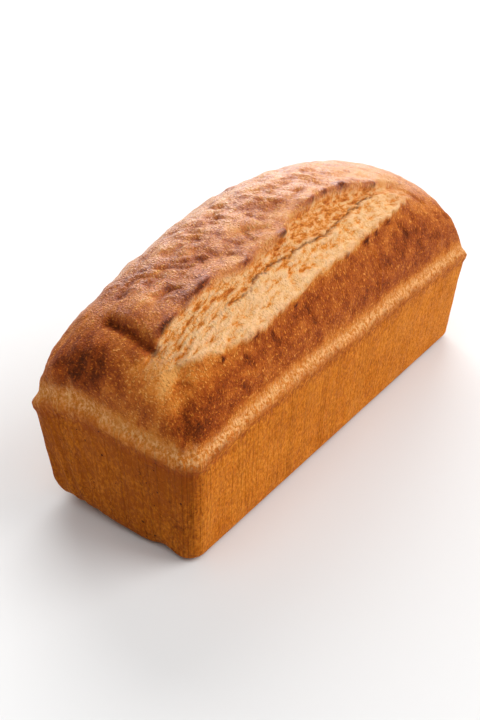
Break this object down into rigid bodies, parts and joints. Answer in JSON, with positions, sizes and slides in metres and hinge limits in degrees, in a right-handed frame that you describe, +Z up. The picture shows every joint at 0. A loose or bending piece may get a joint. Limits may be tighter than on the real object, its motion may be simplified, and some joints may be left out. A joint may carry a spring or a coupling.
{
  "type": "tin loaf",
  "caption": "Whole tin loaf of bread, straight sided below and domed above, its browned crust torn open along one shoulder.",
  "frame": {"origin": "centre of the flat base the loaf stands on", "axes": "+Z up; X along the loaf, its longest side; the torn split is on the shoulder towards -Y, and the folded end is at -X"},
  "size_m": [0.2866, 0.1028, 0.1352],
  "materials": {
    "crust": "baked bread crust, golden brown, half matt"
  },
  "bodies": {
    "root": {"loaf": "crust"}
  },
  "joints": []
}
